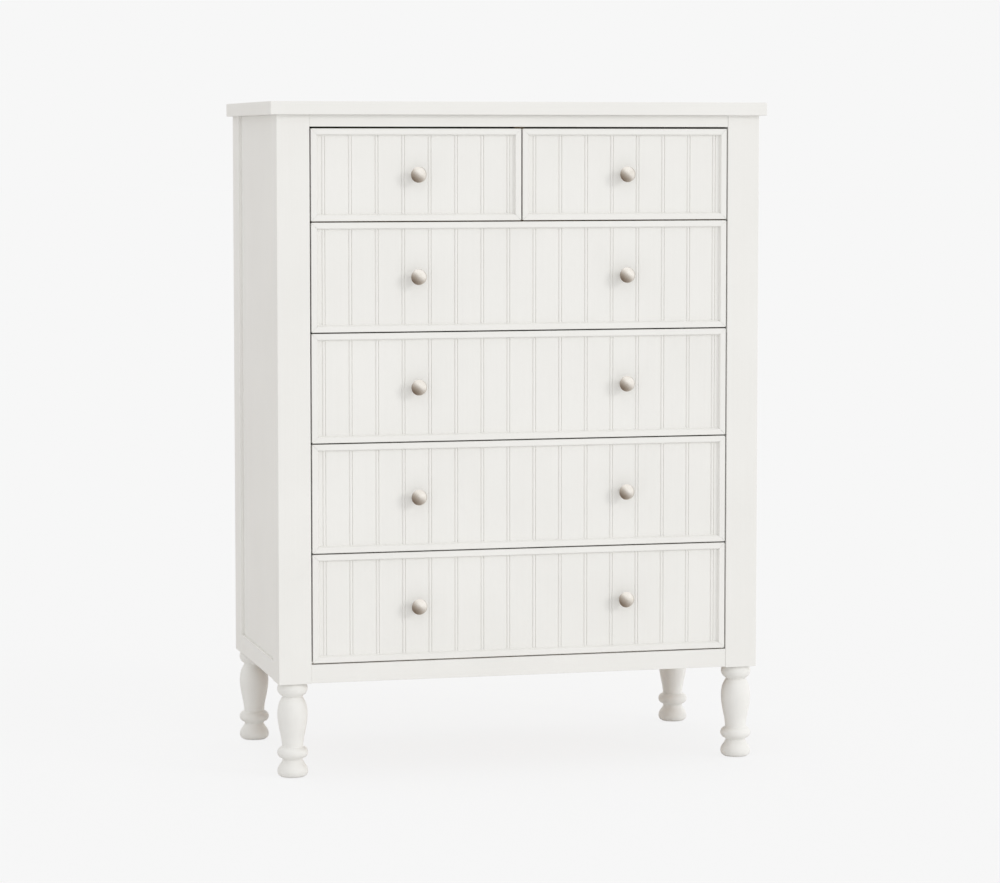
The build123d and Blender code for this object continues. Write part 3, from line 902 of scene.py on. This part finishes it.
def makeKnobs(values):
    knob = spun("knob", knobOutline(values), Vector((0, -1, 0)), values["steps"])
    smooth(knob, values["softDegrees"])
    for drawer in drawers:
        node = drawer + "_knobs"
        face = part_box(drawer + "_panel")[0].y
        hardware = looseParts(benchCopy(node, node + "_screws"))
        # from left to right, each knob before its screw
        for index, part in enumerate(sorted(hardware, key=lambda part: extent(part)[0].x)):
            number = index // 2 + 1
            low, high = extent(part)
            behindFace = high.y > face + 1 * mm
            if behindFace:
                part.name = f"{node}_screw_{number}"
                easeEdges(part, values["screwEase"])
                smooth(part)
                settle(part, node)
                part.data.materials[0] = finishes["zinc_steel"][0]
            else:
                middle = (low + high) / 2
                place = (middle.x, face, middle.z)
                settle(copyOf(knob, f"{node}_turning_{number}", place), node)
                bpy.data.objects.remove(part)
    bpy.data.objects.remove(knob)


makeKnobs(knobValues)
print("knobs made")


# Slides, screws and glides

hardwareValues = {
    "slideEase": 0.45,
    "slideSegments": 3,
    "turnedEases": {"back_screws": 0.12, "floor_glides": 0.3},
}


def makeHardware(values):
    for node in [node for node in nodes if node.endswith("channels")]:
        piece = benchCopy(node, node + "_sheet")
        easeEdges(piece, values["slideEase"], values["slideSegments"])
        smooth(piece)
        settle(piece, node, 1)
    for node, width in values["turnedEases"].items():
        piece = benchCopy(node, node + "_turning")
        easeEdges(piece, width)
        smooth(piece)
        settle(piece, node)
    bolts = nodes["hanger_bolts"]
    bolts.data.materials.clear()
    bolts.data.materials.append(finishes["zinc_steel"][0])


makeHardware(hardwareValues)
print("hardware made")


# Floor, world and lights

stageValues = {
    "white": 0.93,  # what the camera sees of the backdrop and the floor
    "fill": 0.905,
    "gleamFrom": (0.60, -0.06, 0.72),  # where metal and gloss see the bright wall
    "gleamReach": (-0.95, 0.95),
    "gleamStops": [
        (0.0, (0.19, 0.15, 0.12)),
        (0.3, (0.40, 0.36, 0.325)),
        (0.52, (0.60, 0.575, 0.555)),
        (0.66, (0.83, 0.82, 0.81)),
        (0.8, (1, 1, 1)),
    ],
    "gleamStrength": 1.25,
    "floorSize": 80.0,
    "floorSides": 96,
    "floorDrop": 0.1,  # millimetres under the glides
    "floorShader": {"Roughness": 0.9, "Specular IOR Level": 0.0},
    "floorAlbedo": 0.92,
    "shadowShare": 0.11,  # how much of the floor's white is lost in full shadow
    "keyFrom": (27, -25, 12),
    "keyDistance": 5,
    "keyAngle": 16.0,
    "keyStrength": 0.60,
}


def makeWorld(values):
    world = bpy.data.worlds.new("studio")
    bpy.context.scene.world = world
    world.use_nodes = True
    tree = world.node_tree

    def join(node, **sockets):
        for key, value in sockets.items():
            tree.links.new(value, node.inputs[key])
        return node

    def shine(strength):
        node = tree.nodes.new("ShaderNodeBackground")
        node.inputs["Color"].default_value = (1, 1, 1, 1)
        node.inputs["Strength"].default_value = strength
        return node

    path = tree.nodes.new("ShaderNodeLightPath")
    place = tree.nodes.new("ShaderNodeTexCoord")
    facing = tree.nodes.new("ShaderNodeVectorMath")
    facing.operation = "DOT_PRODUCT"
    facing.inputs[1].default_value = Vector(values["gleamFrom"]).normalized()
    join(facing, Vector=place.outputs["Generated"])
    grade = tree.nodes.new("ShaderNodeMapRange")
    for key, value in zip(("From Min", "From Max"), values["gleamReach"]):
        grade.inputs[key].default_value = value
    join(grade, Value=facing.outputs["Value"])
    ramp = tree.nodes.new("ShaderNodeValToRGB")
    setStops(ramp.color_ramp, values["gleamStops"])
    join(ramp, Fac=grade.outputs["Result"])
    gleam = join(shine(values["gleamStrength"]), Color=ramp.outputs["Color"])
    first = tree.nodes.new("ShaderNodeMixShader")
    join(first, Fac=path.outputs["Is Glossy Ray"])
    tree.links.new(shine(values["fill"]).outputs[0], first.inputs[1])
    tree.links.new(gleam.outputs[0], first.inputs[2])
    last = tree.nodes.new("ShaderNodeMixShader")
    join(last, Fac=path.outputs["Is Camera Ray"])
    tree.links.new(first.outputs[0], last.inputs[1])
    tree.links.new(shine(values["white"]).outputs[0], last.inputs[2])
    tree.links.new(last.outputs[0], tree.nodes["World Output"].inputs["Surface"])


def makeFloor(values):
    bpy.ops.object.select_all(action="DESELECT")
    bpy.ops.mesh.primitive_circle_add(
        vertices=values["floorSides"],
        radius=values["floorSize"],
        fill_type="NGON",
        location=(0, 0, -values["floorDrop"] * mm),
    )
    floor = bpy.context.object
    floor.name = "floor"
    finish = Finish("paleFloor", values["floorShader"])
    albedo = values["floorAlbedo"]
    finish.plug(finish.shader, {"Base Color": (albedo, albedo, albedo, 1)})
    lit = Value(finish, finish.shader.outputs[0])
    sunny = Vector(values["keyFrom"]).normalized().z * values["keyStrength"] / math.pi
    share = values["shadowShare"] * values["white"] / (albedo * (values["fill"] + sunny))
    glow = values["white"] * (1 - values["shadowShare"]) / (1 - share)
    light = finish.add("ShaderNodeEmission", sockets={"Strength": glow})
    seen = finish.add("ShaderNodeMixShader", sockets={0: share, 1: light, 2: lit})
    camera = finish.add("ShaderNodeLightPath", output="Is Camera Ray")
    mixed = finish.add("ShaderNodeMixShader", sockets={0: camera, 1: lit, 2: seen})
    # gloss sees the wall that goes on under the floor, so that no horizon crosses a knob
    clear = finish.add("ShaderNodeBsdfTransparent")
    gloss = finish.add("ShaderNodeLightPath", output="Is Glossy Ray")
    mixed = finish.add("ShaderNodeMixShader", sockets={0: gloss, 1: mixed, 2: clear})
    finish.tree.links.new(mixed.socket, finish.tree.nodes["Material Output"].inputs["Surface"])
    floor.data.materials.append(finish.material)


def makeStage(values):
    settings = bpy.context.scene.view_settings
    settings.view_transform = "Standard"
    settings.look = "None"
    makeWorld(values)
    makeFloor(values)
    towards = Vector(values["keyFrom"]).normalized()
    bpy.ops.object.light_add(type="SUN", location=towards * values["keyDistance"])
    key = bpy.context.object
    key.name = "key"
    key.data.angle = math.radians(values["keyAngle"])
    key.data.energy = values["keyStrength"]
    key.visible_glossy = False  # the gleam of the world stands in for it
    key.rotation_euler = towards.to_track_quat("Z", "Y").to_euler()


makeStage(stageValues)
print("stage lit")
